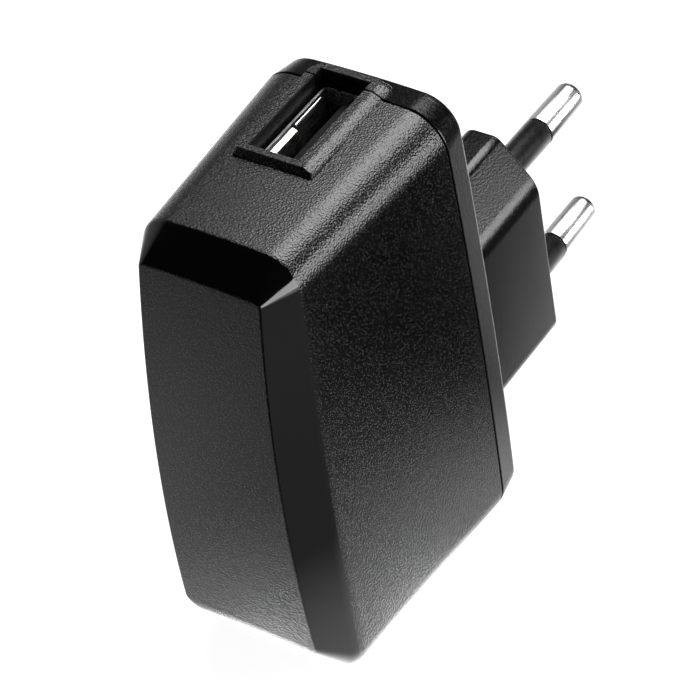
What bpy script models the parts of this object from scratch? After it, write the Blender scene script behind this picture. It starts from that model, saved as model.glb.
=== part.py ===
"""USB wall charger with a two-pin Europlug block, built as separate named parts.

Units are metres. +Z is up, +Y points out of the wall side of the charger, along the pins, and +X is
the charger's right seen from the front. The origin is the centre of the plug block's end face, the
face that meets the socket, midway between the two pins.
"""

import math

import bmesh
import bpy

MM = 0.001

# Gaps between neighbouring parts.
GAP = 0.3 * MM
SEAM_GAP = 0.3 * MM
SLIDE_GAP = 0.2 * MM

# Plug block and pins, after the Europlug standard (EN 50075).
BLOCK_LENGTH = 18.8 * MM
BLOCK_HALF_WIDTH = 6.8 * MM
BLOCK_HALF_HEIGHT = 17.65 * MM
BLOCK_SHOULDER_Z = 11.8 * MM
BLOCK_LOW_SHOULDER_Z = -10.5 * MM
BLOCK_SHOULDER_ROUND = 4.4 * MM
BLOCK_TIP_HALF_WIDTH = 1.9 * MM
BLOCK_TIP_ROUND = 1.6 * MM
BLOCK_WALL = 1.8 * MM
BLOCK_END_WALL = 2.8 * MM
BLOCK_END_ROUND = 0.8 * MM
PIN_SPACING = 18.8 * MM
PIN_RADIUS = 2.0 * MM
PIN_LENGTH = 19.0 * MM
PIN_NECK_RADIUS = 1.5 * MM
PIN_COLLAR_RADIUS = 2.7 * MM
PIN_TAIL_END = -7.0 * MM
PIN_TIP_ROUND = 1.3 * MM
PIN_TILT = math.radians(0.8)
SLEEVE_RADIUS = 1.95 * MM
SLEEVE_BORE_RADIUS = 1.65 * MM
SLEEVE_END = 10.6 * MM
SLEEVE_START = -2.4 * MM
PIN_HOLE_RADIUS = 2.15 * MM

# Outer casing. The seam is the plane where the front housing meets the rear cover.
WALL = 1.7 * MM
COVER_BACK_Y = -BLOCK_LENGTH
SEAM_Y = COVER_BACK_Y - 3.9 * MM
COVER_EDGE_ROUND = 0.8 * MM
LIP_DEPTH = 2.0 * MM
LIP_THICKNESS = 1.0 * MM

# Each outline of the casing: half widths at top and bottom, sideways bow, top, bottom, corner radii.
SEAM_OUTLINE = dict(
    half_top=11.75 * MM, half_bottom=11.75 * MM, bow=0.55 * MM,
    top=41.2 * MM, bottom=-20.9 * MM, round_top=4.9 * MM, round_bottom=5.2 * MM,
)
RIM_OUTLINE = dict(
    half_top=10.1 * MM, half_bottom=10.9 * MM, bow=0.0,
    top=40.7 * MM, bottom=-19.5 * MM, round_top=4.1 * MM, round_bottom=4.4 * MM,
)
FACE_OUTLINE = dict(
    half_top=7.75 * MM, half_bottom=9.05 * MM, bow=0.0,
    top=37.8 * MM, bottom=-11.5 * MM, round_top=0.5 * MM, round_bottom=1.6 * MM,
)
# How far each bowed front outline lies in front of the seam, at its bottom, middle and top.
RIM_DEPTHS = (29.5 * MM, 27.8 * MM, 24.9 * MM)
FACE_DEPTHS = (34.2 * MM, 33.3 * MM, 29.1 * MM)

# USB port: the opening, its raised collar and the receptacle below it.
PORT_X = -1.1 * MM
PORT_Y = SEAM_Y - 5.65 * MM
PORT_OPENING = (6.36 * MM, 13.6 * MM)
COLLAR_TOP_Z = 41.9 * MM
COLLAR_RIM = (1.22 * MM, 0.95 * MM)
COLLAR_FLARE = 0.4 * MM
SHELL_SIZE = (5.7 * MM, 13.1 * MM, 14.0 * MM)
SHELL_SHEET = 0.3 * MM
SHELL_TOP_Z = 39.8 * MM
SHELL_CORNER = 0.7 * MM
TONGUE_SIZE = (1.84 * MM, 11.1 * MM)
TONGUE_OFFSET = 0.95 * MM
TONGUE_TOP_Z = SHELL_TOP_Z - 0.9 * MM
TONGUE_ROOT_HEIGHT = 4.0 * MM
CONTACT_OFFSETS = (-3.5 * MM, -1.0 * MM, 1.0 * MM, 3.5 * MM)
CONTACT_WIDTH = 1.0 * MM
CONTACT_THICKNESS = 0.2 * MM

# Circuit board: it stands upright behind the receptacle, parted from the left wall.
BOARD_THICKNESS = 1.6 * MM
BOARD_FACE_X = PORT_X - SHELL_SIZE[0] / 2 - GAP
BOARD_BACK_X = BOARD_FACE_X - BOARD_THICKNESS
BOARD_Y = (-48.5 * MM, -21.2 * MM)
BOARD_Z = (-14.0 * MM, 37.0 * MM)
SEAT_X = BOARD_FACE_X + GAP
# Ribs on the left wall that the board leans on: front end, bottom and top of each.
BOARD_RIBS = (
    (-49.6 * MM, 32.0 * MM, 33.2 * MM),
    (-54.0 * MM, -3.2 * MM, -2.0 * MM),
)

ARC_STEPS = 6
SIDE_STEPS = 9
ROUND_STEPS = 24

COLOURS = {
    "casing_plastic": ((0.012, 0.012, 0.013), 0.45, 0.0),
    "pin_nickel": ((0.72, 0.71, 0.69), 0.18, 1.0),
    "sleeve_plastic": ((0.010, 0.010, 0.011), 0.3, 0.0),
    "shell_steel": ((0.66, 0.66, 0.67), 0.25, 1.0),
    "tongue_plastic": ((0.015, 0.015, 0.016), 0.5, 0.0),
    "contact_gold": ((0.83, 0.62, 0.28), 0.25, 1.0),
    "board_laminate": ((0.34, 0.22, 0.09), 0.6, 0.0),
    "ferrite": ((0.06, 0.06, 0.065), 0.7, 0.0),
    "bobbin_plastic": ((0.05, 0.05, 0.05), 0.5, 0.0),
    "winding_tape": ((0.75, 0.55, 0.08), 0.5, 0.0),
    "capacitor_sleeve": ((0.03, 0.05, 0.16), 0.35, 0.0),
    "disc_ceramic": ((0.05, 0.2, 0.5), 0.45, 0.0),
    "resistor_coat": ((0.35, 0.45, 0.38), 0.5, 0.0),
    "chip_epoxy": ((0.02, 0.02, 0.02), 0.55, 0.0),
    "lead_insulation": ((0.4, 0.03, 0.03), 0.5, 0.0),
}


def clear_scene():
    for old in list(bpy.data.objects):
        bpy.data.objects.remove(old, do_unlink=True)


def material(name):
    """The Principled material of this name, made once."""
    found = bpy.data.materials.get(name)
    if found:
        return found
    colour, roughness, metallic = COLOURS[name]
    made = bpy.data.materials.new(name)
    made.use_nodes = True
    shader = made.node_tree.nodes["Principled BSDF"]
    shader.inputs["Base Color"].default_value = (*colour, 1.0)
    shader.inputs["Roughness"].default_value = roughness
    shader.inputs["Metallic"].default_value = metallic
    made.diffuse_color = (*colour, 1.0)
    return made


def add_object(name, form, finish, smooth_angle=None):
    """A named object from a bmesh, with its faces turned outwards."""
    bmesh.ops.recalc_face_normals(form, faces=form.faces[:])
    mesh = bpy.data.meshes.new(name)
    form.to_mesh(mesh)
    form.free()
    if smooth_angle is not None:
        mesh.shade_smooth()
        mesh.set_sharp_from_angle(angle=math.radians(smooth_angle))
    made = bpy.data.objects.new(name, mesh)
    made.data.materials.append(material(finish))
    bpy.context.scene.collection.objects.link(made)
    return made


def add_cutter(name, form):
    """A helper object for a Boolean, hidden from the render."""
    made = add_object(name, form, "casing_plastic")
    made.hide_render = True
    made.display_type = "WIRE"
    return made


def combine(target, tool, operation):
    step = target.modifiers.new(f"{operation.lower()}_{tool.name}", "BOOLEAN")
    step.operation = operation
    step.solver = "EXACT"
    step.object = tool


def box(form, low, high):
    """Adds an axis-aligned box to a bmesh."""
    corners = bmesh.ops.create_cube(form, size=1.0)["verts"]
    for corner in corners:
        for axis in range(3):
            corner.co[axis] = low[axis] if corner.co[axis] < 0 else high[axis]
    return corners


def box_form(low, high):
    form = bmesh.new()
    box(form, low, high)
    return form


def stack(form, rings, closed=False):
    """Side walls between neighbouring rings of equal count. Closed joins the last ring to the first."""
    rows = [[form.verts.new(point) for point in ring] for ring in rings]
    pairs = list(zip(rows, rows[1:]))
    if closed:
        pairs.append((rows[-1], rows[0]))
    for lower, upper in pairs:
        for index in range(len(lower)):
            after = (index + 1) % len(lower)
            form.faces.new((lower[index], lower[after], upper[after], upper[index]))
    return rows


def turned(profile, axis="Y", steps=ROUND_STEPS):
    """A solid of revolution. The profile lists (along, radius) and starts and ends on the axis."""
    form = bmesh.new()
    rings = []
    for along, radius in profile[1:-1]:
        ring = []
        for step in range(steps):
            angle = math.tau * step / steps
            u, v = radius * math.cos(angle), radius * math.sin(angle)
            ring.append({"X": (along, u, v), "Y": (u, along, v), "Z": (u, v, along)}[axis])
        rings.append(ring)
    rows = stack(form, rings)
    for row, (along, _) in ((rows[0], profile[0]), (rows[-1], profile[-1])):
        tip = form.verts.new({"X": (along, 0, 0), "Y": (0, along, 0), "Z": (0, 0, along)}[axis])
        for index in range(steps):
            form.faces.new((row[index], row[(index + 1) % steps], tip))
    return form


def tube(inner, outer, start, end, steps=ROUND_STEPS):
    """A round tube along Y."""
    form = bmesh.new()
    rings = []
    for radius, along in ((outer, start), (outer, end), (inner, end), (inner, start)):
        ring = []
        for step in range(steps):
            angle = math.tau * step / steps
            ring.append((radius * math.cos(angle), along, radius * math.sin(angle)))
        rings.append(ring)
    stack(form, rings, closed=True)
    return form


def arc(centre, radius, start, end, steps=ARC_STEPS):
    """Points (x, z) on an arc, angles in degrees."""
    points = []
    for step in range(steps + 1):
        angle = math.radians(start + (end - start) * step / steps)
        points.append((centre[0] + radius * math.cos(angle), centre[1] + radius * math.sin(angle)))
    return points


def mirrored(right_half):
    """The whole outline from its right half, which runs from top to bottom."""
    return right_half + [(-x, z) for x, z in reversed(right_half)]


def casing_outline(shape, inset=0.0):
    """A rounded, slightly bowed rectangle as (x, z) points, moved inwards by inset."""
    top = shape["top"] - inset
    bottom = shape["bottom"] + inset
    least = 0.3 * MM

    def half_width(z):
        share = (z - shape["bottom"]) / (shape["top"] - shape["bottom"])
        straight = shape["half_bottom"] * (1 - share) + shape["half_top"] * share
        return straight + 4 * shape["bow"] * share * (1 - share) - inset

    radius_top = max(shape["round_top"] - inset, least)
    radius_bottom = max(shape["round_bottom"] - inset, least)
    high = top - radius_top
    low = bottom + radius_bottom
    right = arc((half_width(high) - radius_top, high), radius_top, 90, 0)
    for step in range(1, SIDE_STEPS):
        z = high + (low - high) * step / SIDE_STEPS
        right.append((half_width(z), z))
    right += arc((half_width(low) - radius_bottom, low), radius_bottom, 0, -90)
    return mirrored(right)


def bowed_depth(z, shape, depths):
    """Depth of a bowed outline at height z, through its bottom, middle and top depths."""
    share = (z - shape["bottom"]) / (shape["top"] - shape["bottom"])
    at_bottom, at_middle, at_top = depths
    return (
        at_bottom * (1 - share) * (1 - 2 * share)
        + at_middle * 4 * share * (1 - share)
        + at_top * share * (2 * share - 1)
    )


def flat_ring(shape, y, inset=0.0):
    return [(x, y, z) for x, z in casing_outline(shape, inset)]


def bowed_ring(shape, depths, inset=0.0, back=0.0):
    ring = []
    for x, z in casing_outline(shape, inset):
        ring.append((x, SEAM_Y - bowed_depth(z, shape, depths) + back, z))
    return ring


def close_by_rows(form, row):
    """Closes a left-right symmetric ring with level strips, so a bowed end stays smooth."""
    count = len(row)
    for index in range(count // 2 - 1):
        form.faces.new((row[index], row[index + 1], row[count - 2 - index], row[count - 1 - index]))


def port_box(y_low, y_high, z_low, z_high):
    """A box as wide as the port opening."""
    half = PORT_OPENING[0] / 2
    return box_form((PORT_X - half, y_low, z_low), (PORT_X + half, y_high, z_high))


def collar_form(y_low, y_high, flare_front, flare_back):
    """A stretch of the port's raised collar, with sloping outer walls sunk into the casing."""
    half = PORT_OPENING[0] / 2 + COLLAR_RIM[0]
    foot_z = SEAM_OUTLINE["top"] - 0.6 * MM
    mid_z = SEAM_OUTLINE["top"] - 0.1 * MM
    form = bmesh.new()
    rings = []
    for z, flare in ((foot_z, COLLAR_FLARE), (mid_z, COLLAR_FLARE), (COLLAR_TOP_Z, 0.0)):
        front = y_low - flare * flare_front
        back = y_high + flare * flare_back
        left = PORT_X - half - flare
        right = PORT_X + half + flare
        rings.append([(left, front, z), (right, front, z), (right, back, z), (left, back, z)])
    rows = stack(form, rings)
    form.faces.new(rows[0])
    form.faces.new(rows[-1])
    return form


def build_front_housing():
    form = bmesh.new()
    rim_y = SEAM_Y - SEAM_GAP / 2
    rows = stack(
        form,
        [
            bowed_ring(FACE_OUTLINE, FACE_DEPTHS),
            bowed_ring(RIM_OUTLINE, RIM_DEPTHS),
            flat_ring(SEAM_OUTLINE, rim_y),
            flat_ring(SEAM_OUTLINE, rim_y, WALL),
            bowed_ring(RIM_OUTLINE, RIM_DEPTHS, WALL, 0.6 * MM),
            bowed_ring(FACE_OUTLINE, FACE_DEPTHS, 1.0 * MM, WALL),
        ],
    )
    close_by_rows(form, rows[0])
    close_by_rows(form, rows[-1])
    housing = add_object("front_housing", form, "casing_plastic", 24)

    collar = add_cutter(
        "front_collar_tool",
        collar_form(PORT_Y - PORT_OPENING[1] / 2 - COLLAR_RIM[1], rim_y, 1, 0),
    )
    combine(housing, collar, "UNION")
    rib_x = (-9.2 * MM, BOARD_BACK_X - GAP)
    for index, (y_front, z_low, z_high) in enumerate(BOARD_RIBS):
        rib = box_form((rib_x[0], y_front, z_low), (rib_x[1], BOARD_Y[0] + 3.0 * MM, z_high))
        combine(housing, add_cutter(f"board_rib_tool_{index + 1}", rib), "UNION")
    opening = add_cutter(
        "front_port_tool",
        port_box(PORT_Y - PORT_OPENING[1] / 2, SEAM_Y + 3 * MM, 37.0 * MM, 44.0 * MM),
    )
    combine(housing, opening, "DIFFERENCE")


def block_half(inset, shoulder_z, shoulder_round):
    """The plug block's right half above its middle, as (x, z) points from the tip to the shoulder."""
    tip_x = BLOCK_TIP_HALF_WIDTH - 0.3 * inset
    tip_z = BLOCK_HALF_HEIGHT - inset
    side_x = BLOCK_HALF_WIDTH - inset
    corner_z = shoulder_z - 0.4 * inset
    # The sloping shoulder's normal stands this many degrees above the side's.
    turn = math.degrees(math.atan2(side_x - tip_x, tip_z - corner_z))
    shoulder_reach = shoulder_round * math.tan(math.radians(turn) / 2)
    tip_reach = BLOCK_TIP_ROUND * math.tan(math.radians(90 - turn) / 2)
    tip_centre = (tip_x - tip_reach, tip_z - BLOCK_TIP_ROUND)
    shoulder_centre = (side_x - shoulder_round, corner_z - shoulder_reach)
    points = arc(tip_centre, BLOCK_TIP_ROUND, 90, turn)
    points += arc(shoulder_centre, shoulder_round, turn, 0)
    return [point for point in points if point[0] > 0]


def block_outline(inset, round_high, round_low):
    """The plug block's long hexagon with rounded corners, as (x, z) points."""
    upper = block_half(inset, BLOCK_SHOULDER_Z, round_high)
    lower = block_half(inset, -BLOCK_LOW_SHOULDER_Z, round_low)
    return mirrored(upper + [(x, -z) for x, z in reversed(lower)])


def block_ring(y, inset, round_high, round_low):
    return [(x, y, z) for x, z in block_outline(inset, round_high, round_low)]


def build_rear_cover():
    form = bmesh.new()
    rim_y = SEAM_Y + SEAM_GAP / 2
    lip_y = SEAM_Y - LIP_DEPTH
    lip_inset = WALL + GAP
    floor_y = COVER_BACK_Y - WALL
    rows = stack(
        form,
        [
            flat_ring(SEAM_OUTLINE, COVER_BACK_Y, COVER_EDGE_ROUND),
            flat_ring(SEAM_OUTLINE, COVER_BACK_Y - 0.3 * COVER_EDGE_ROUND, 0.3 * COVER_EDGE_ROUND),
            flat_ring(SEAM_OUTLINE, COVER_BACK_Y - COVER_EDGE_ROUND),
            flat_ring(SEAM_OUTLINE, rim_y),
            flat_ring(SEAM_OUTLINE, rim_y, lip_inset),
            flat_ring(SEAM_OUTLINE, lip_y, lip_inset),
            flat_ring(SEAM_OUTLINE, lip_y, lip_inset + LIP_THICKNESS),
            flat_ring(SEAM_OUTLINE, floor_y, lip_inset + LIP_THICKNESS),
        ],
    )
    close_by_rows(form, rows[0])
    close_by_rows(form, rows[-1])
    cover = add_object("rear_cover", form, "casing_plastic", 24)

    block = bmesh.new()
    rows = stack(
        block,
        [
            block_ring(COVER_BACK_Y - 1.0 * MM, 0.0, BLOCK_SHOULDER_ROUND, 3.4 * MM),
            block_ring(-BLOCK_END_ROUND, 0.0, BLOCK_SHOULDER_ROUND, 1.2 * MM),
            block_ring(
                -0.3 * BLOCK_END_ROUND, 0.3 * BLOCK_END_ROUND, BLOCK_SHOULDER_ROUND, 1.1 * MM
            ),
            block_ring(0.0, BLOCK_END_ROUND, BLOCK_SHOULDER_ROUND, 1.0 * MM),
        ],
    )
    close_by_rows(block, rows[0])
    close_by_rows(block, rows[-1])
    combine(cover, add_cutter("block_tool", block), "UNION")

    back = PORT_Y + PORT_OPENING[1] / 2 + COLLAR_RIM[1]
    combine(cover, add_cutter("rear_collar_tool", collar_form(rim_y, back, 0, 1)), "UNION")

    hollow = bmesh.new()
    rows = stack(
        hollow,
        [
            block_ring(floor_y - 1.0 * MM, BLOCK_WALL, BLOCK_SHOULDER_ROUND / 2, 2.0 * MM),
            block_ring(-BLOCK_END_WALL, BLOCK_WALL, BLOCK_SHOULDER_ROUND / 2, 1.0 * MM),
        ],
    )
    close_by_rows(hollow, rows[0])
    close_by_rows(hollow, rows[-1])
    combine(cover, add_cutter("block_hollow_tool", hollow), "DIFFERENCE")

    for side, name in ((1, "upper"), (-1, "lower")):
        hole = turned(
            [(-6 * MM, 0), (-6 * MM, PIN_HOLE_RADIUS), (2 * MM, PIN_HOLE_RADIUS), (2 * MM, 0)]
        )
        tool = add_cutter(f"pin_hole_tool_{name}", hole)
        tool.location = (0, 0, side * PIN_SPACING / 2)
        tool.rotation_euler = (-side * PIN_TILT, 0, 0)
        combine(cover, tool, "DIFFERENCE")

    port_back = PORT_Y + PORT_OPENING[1] / 2
    opening = port_box(SEAM_Y - 4 * MM, port_back, 24.0 * MM, 44.0 * MM)
    combine(cover, add_cutter("rear_port_tool", opening), "DIFFERENCE")


def build_pins():
    neck_start = SLEEVE_END + 0.2 * MM
    wall_back = -BLOCK_END_WALL - 0.3 * MM
    for side, name in ((1, "upper"), (-1, "lower")):
        tip = [
            (PIN_LENGTH - PIN_TIP_ROUND + y, PIN_RADIUS - PIN_TIP_ROUND + x)
            for x, y in arc((0, 0), PIN_TIP_ROUND, 0, 90, 5)
        ]
        profile = [
            (PIN_TAIL_END, 0),
            (PIN_TAIL_END, 1.2 * MM),
            (wall_back - 1.2 * MM, 1.2 * MM),
            (wall_back - 1.2 * MM, PIN_COLLAR_RADIUS),
            (wall_back, PIN_COLLAR_RADIUS),
            (wall_back, PIN_NECK_RADIUS),
            (neck_start, PIN_NECK_RADIUS),
            (neck_start, PIN_RADIUS),
            *tip,
            (PIN_LENGTH, 0),
        ]
        pin = add_object(f"pin_{name}", turned(profile), "pin_nickel", 35)
        sleeve_form = tube(SLEEVE_BORE_RADIUS, SLEEVE_RADIUS, SLEEVE_START, SLEEVE_END)
        sleeve = add_object(f"pin_sleeve_{name}", sleeve_form, "sleeve_plastic", 35)
        for piece in (pin, sleeve):
            piece.location = (0, 0, side * PIN_SPACING / 2)
            piece.rotation_euler = (-side * PIN_TILT, 0, 0)


def shell_ring(inset, z):
    """A level rounded-rectangle ring of the receptacle shell."""
    half_x = SHELL_SIZE[0] / 2 - inset
    half_y = SHELL_SIZE[1] / 2 - inset
    radius = SHELL_CORNER - inset
    points = []
    for sign_x, sign_y, start in ((1, 1, 0), (-1, 1, 90), (-1, -1, 180), (1, -1, 270)):
        centre = (PORT_X + sign_x * (half_x - radius), PORT_Y + sign_y * (half_y - radius))
        points += [(x, y, z) for x, y in arc(centre, radius, start, start + 90, 3)]
    return points


def build_usb_shell():
    form = bmesh.new()
    bottom = SHELL_TOP_Z - SHELL_SIZE[2]
    stack(
        form,
        [
            shell_ring(0.0, bottom),
            shell_ring(0.0, SHELL_TOP_Z),
            shell_ring(SHELL_SHEET, SHELL_TOP_Z),
            shell_ring(SHELL_SHEET, bottom),
        ],
        closed=True,
    )
    shell = add_object("usb_shell", form, "shell_steel", 35)
    # Retention springs: two bent leaves on the wall that faces the contacts.
    wall_x = PORT_X - SHELL_SIZE[0] / 2 + 0.15 * MM
    leaf = ((0.0, -0.55), (0.4, -0.95), (0.75, -1.7), (0.75, -3.4), (0.35, -5.4), (0.0, -5.6))
    for index, centre in enumerate((-2.75 * MM, 2.75 * MM)):
        tab = bmesh.new()
        rings = []
        for y in (PORT_Y + centre - 2.5 * MM, PORT_Y + centre + 2.5 * MM):
            rings.append([(wall_x + x * MM, y, SHELL_TOP_Z + z * MM) for x, z in leaf])
        rows = stack(tab, rings)
        tab.faces.new(rows[0])
        tab.faces.new(rows[-1])
        combine(shell, add_cutter(f"shell_leaf_tool_{index + 1}", tab), "UNION")


def tongue_face_x():
    return PORT_X + TONGUE_OFFSET - TONGUE_SIZE[0] / 2


def tongue_root_z():
    return SHELL_TOP_Z - SHELL_SIZE[2] + TONGUE_ROOT_HEIGHT


def build_usb_tongue():
    half_y = TONGUE_SIZE[1] / 2
    root_half_x = SHELL_SIZE[0] / 2 - SHELL_SHEET - 0.15 * MM
    root_half_y = SHELL_SIZE[1] / 2 - SHELL_SHEET - 0.15 * MM
    root_z = tongue_root_z()
    tongue = add_object(
        "usb_tongue",
        box_form(
            (PORT_X - root_half_x, PORT_Y - root_half_y, SHELL_TOP_Z - SHELL_SIZE[2] + 0.2 * MM),
            (PORT_X + root_half_x, PORT_Y + root_half_y, root_z),
        ),
        "tongue_plastic",
    )
    blade = box_form(
        (tongue_face_x(), PORT_Y - half_y, root_z - 0.5 * MM),
        (tongue_face_x() + TONGUE_SIZE[0], PORT_Y + half_y, TONGUE_TOP_Z),
    )
    combine(tongue, add_cutter("tongue_blade_tool", blade), "UNION")


def build_usb_contacts():
    """Four leaf contacts. Each has its origin on its hinge line, at the leaf's root."""
    path = ((-0.3, 0.3), (-0.42, 3.0), (-0.78, 6.0), (-0.72, 6.9), (-0.5, 7.8))
    root_z = tongue_root_z()
    for index, offset in enumerate(CONTACT_OFFSETS):
        form = bmesh.new()
        rings = []
        for y in (-CONTACT_WIDTH / 2, CONTACT_WIDTH / 2):
            front = [(x * MM - CONTACT_THICKNESS / 2, y, z * MM) for x, z in path]
            back = [(x * MM + CONTACT_THICKNESS / 2, y, z * MM) for x, z in reversed(path)]
            rings.append(front + back)
        rows = stack(form, rings)
        form.faces.new(rows[0])
        form.faces.new(rows[-1])
        contact = add_object(f"usb_contact_{index + 1}", form, "contact_gold")
        contact.location = (tongue_face_x(), PORT_Y + offset, root_z)


def build_board():
    low = (BOARD_BACK_X, BOARD_Y[0], BOARD_Z[0])
    high = (BOARD_FACE_X, BOARD_Y[1], BOARD_Z[1])
    add_object("main_board", box_form(low, high), "board_laminate")


TRANSFORMER_CENTRE = (2.3 * MM, -38.0 * MM, 5.5 * MM)
CORE_SIZE = (6.0 * MM, 12.6 * MM, 13.2 * MM)
CORE_BACK = 1.9 * MM
CORE_CENTRE_LEG = 2.8 * MM
WINDOW_HALF = CORE_SIZE[1] / 2 - CORE_BACK


def build_transformer_cores():
    """Two facing E-shaped ferrite halves, with their legs along Y."""
    cx, cy, cz = TRANSFORMER_CENTRE
    half_x, far, half_z = (size / 2 for size in CORE_SIZE)
    leg_end = 0.15 * MM
    leg_root = far - CORE_BACK
    window_z = half_z - CORE_BACK
    centre_z = CORE_CENTRE_LEG / 2
    outline = [
        (far, -half_z),
        (leg_end, -half_z),
        (leg_end, -window_z),
        (leg_root, -window_z),
        (leg_root, -centre_z),
        (leg_end, -centre_z),
        (leg_end, centre_z),
        (leg_root, centre_z),
        (leg_root, window_z),
        (leg_end, window_z),
        (leg_end, half_z),
        (far, half_z),
    ]
    for side, name in ((-1, "front"), (1, "rear")):
        rings = [[(cx + x, cy + side * y, cz + z) for y, z in outline] for x in (-half_x, half_x)]
        form = bmesh.new()
        rows = stack(form, rings)
        form.faces.new(rows[0])
        form.faces.new(rows[-1])
        add_object(f"transformer_core_{name}", form, "ferrite")


def square_ring(half_x, half_z, y, rounding):
    """A rounded rectangular ring about the transformer's axis."""
    cx, cy, cz = TRANSFORMER_CENTRE
    points = []
    for sign_x, sign_z, start in ((1, 1, 0), (-1, 1, 90), (-1, -1, 180), (1, -1, 270)):
        centre = (sign_x * (half_x - rounding), sign_z * (half_z - rounding))
        points += [(cx + x, cy + y, cz + z) for x, z in arc(centre, rounding, start, start + 90, 3)]
    return points


def build_transformer_bobbin():
    bore = (CORE_SIZE[0] / 2 + GAP, CORE_CENTRE_LEG / 2 + GAP)
    barrel = (bore[0] + 0.7 * MM, bore[1] + 0.7 * MM)
    flange = (6.0 * MM, 4.3 * MM)
    end = WINDOW_HALF - GAP
    inner = end - 0.8 * MM
    form = bmesh.new()
    stack(
        form,
        [
            square_ring(*flange, -end, 0.5 * MM),
            square_ring(*flange, -inner, 0.5 * MM),
            square_ring(*barrel, -inner, 0.5 * MM),
            square_ring(*barrel, inner, 0.5 * MM),
            square_ring(*flange, inner, 0.5 * MM),
            square_ring(*flange, end, 0.5 * MM),
            square_ring(*bore, end, 0.3 * MM),
            square_ring(*bore, -end, 0.3 * MM),
        ],
        closed=True,
    )
    add_object("transformer_bobbin", form, "bobbin_plastic")
    winding = (barrel[0] + 0.2 * MM, barrel[1] + 0.2 * MM)
    wound = (5.9 * MM, 4.1 * MM)
    edge = inner - 0.2 * MM
    form = bmesh.new()
    stack(
        form,
        [
            square_ring(*wound, -edge, 1.4 * MM),
            square_ring(*wound, edge, 1.4 * MM),
            square_ring(*winding, edge, 0.5 * MM),
            square_ring(*winding, -edge, 0.5 * MM),
        ],
        closed=True,
    )
    add_object("transformer_winding", form, "winding_tape")


def capacitor_form(radius, height):
    """An upright electrolytic can with its rubber-end groove, standing along X."""
    groove = height * 0.12
    return turned(
        [
            (0, 0),
            (0, radius * 0.9),
            (0.4 * MM, radius),
            (groove, radius),
            (groove + 0.4 * MM, radius * 0.88),
            (groove + 0.9 * MM, radius),
            (height - 0.5 * MM, radius),
            (height, radius * 0.88),
            (height, radius * 0.7),
            (height - 0.2 * MM, 0),
        ],
        axis="X",
        steps=20,
    )


def build_capacitors():
    cans = (
        ("input_capacitor_1", 4.0 * MM, 12.0 * MM, -43.3 * MM, -8.0 * MM),
        ("input_capacitor_2", 4.0 * MM, 12.0 * MM, -34.5 * MM, -8.0 * MM),
        ("output_capacitor", 4.0 * MM, 11.0 * MM, -43.5 * MM, 29.0 * MM),
    )
    for name, radius, height, y, z in cans:
        can = add_object(name, capacitor_form(radius, height), "capacitor_sleeve", 35)
        can.location = (SEAT_X, y, z)
    disc_radius, disc_half = 3.6 * MM, 1.4 * MM
    disc = turned(
        [
            (-disc_half, 0),
            (-disc_half, disc_radius * 0.7),
            (-disc_half * 0.5, disc_radius * 0.96),
            (disc_half * 0.5, disc_radius * 0.96),
            (disc_half, disc_radius * 0.7),
            (disc_half, 0),
        ],
        axis="Z",
        steps=20,
    )
    made = add_object("y_capacitor", disc, "disc_ceramic", 35)
    made.location = (SEAT_X + disc_radius + 0.3 * MM, -27.0 * MM, 18.0 * MM)


def axial_form(radius, length, axis):
    """A small axial component with its lead stubs."""
    half = length / 2
    stub = 0.35 * MM
    return turned(
        [
            (-half - 1.2 * MM, 0),
            (-half - 1.2 * MM, stub),
            (-half, stub),
            (-half, radius * 0.8),
            (-half + 0.6 * MM, radius),
            (half - 0.6 * MM, radius),
            (half, radius * 0.8),
            (half, stub),
            (half + 1.2 * MM, stub),
            (half + 1.2 * MM, 0),
        ],
        axis=axis,
        steps=16,
    )


def build_axial_parts():
    resistor = add_object(
        "fusible_resistor", axial_form(1.6 * MM, 8.0 * MM, "Z"), "resistor_coat", 35
    )
    resistor.location = (SEAT_X + 1.7 * MM, -25.0 * MM, -7.5 * MM)
    diode = add_object("output_diode", axial_form(1.8 * MM, 7.0 * MM, "Y"), "chip_epoxy", 35)
    diode.location = (SEAT_X + 1.9 * MM, -42.0 * MM, 20.5 * MM)


def build_chip(name, body, legs_per_side, pitch, place, facing):
    """A chip with its legs joined on. facing is +1 on the component side and -1 on the solder side."""
    height, width, length = body
    form = box_form((0.15 * MM, -width / 2, -length / 2), (height, width / 2, length / 2))
    chip = add_object(name, form, "chip_epoxy")
    reach = length / 2 + 0.8 * MM
    leg_half = 0.2 * MM
    for index in range(legs_per_side):
        y = (index - (legs_per_side - 1) / 2) * pitch
        leg = box_form((0.0, y - leg_half, -reach), (0.25 * MM, y + leg_half, reach))
        tool = add_cutter(f"{name}_leg_tool_{index + 1}", leg)
        tool.parent = chip
        combine(chip, tool, "UNION")
    chip.location = place
    chip.rotation_euler = (0, 0, 0 if facing > 0 else math.pi)


def build_chips():
    solder_x = BOARD_BACK_X - GAP
    build_chip("bridge_rectifier", (1.6 * MM, 4.7 * MM, 3.9 * MM), 2, 2.5 * MM,
               (solder_x, -28.0 * MM, -2.0 * MM), -1)
    build_chip("control_chip", (1.6 * MM, 4.9 * MM, 3.9 * MM), 4, 1.27 * MM,
               (solder_x, -38.0 * MM, 14.0 * MM), -1)
    build_chip("optocoupler", (3.4 * MM, 4.6 * MM, 6.2 * MM), 2, 2.54 * MM,
               (SEAT_X, -34.0 * MM, 18.6 * MM), 1)


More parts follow.
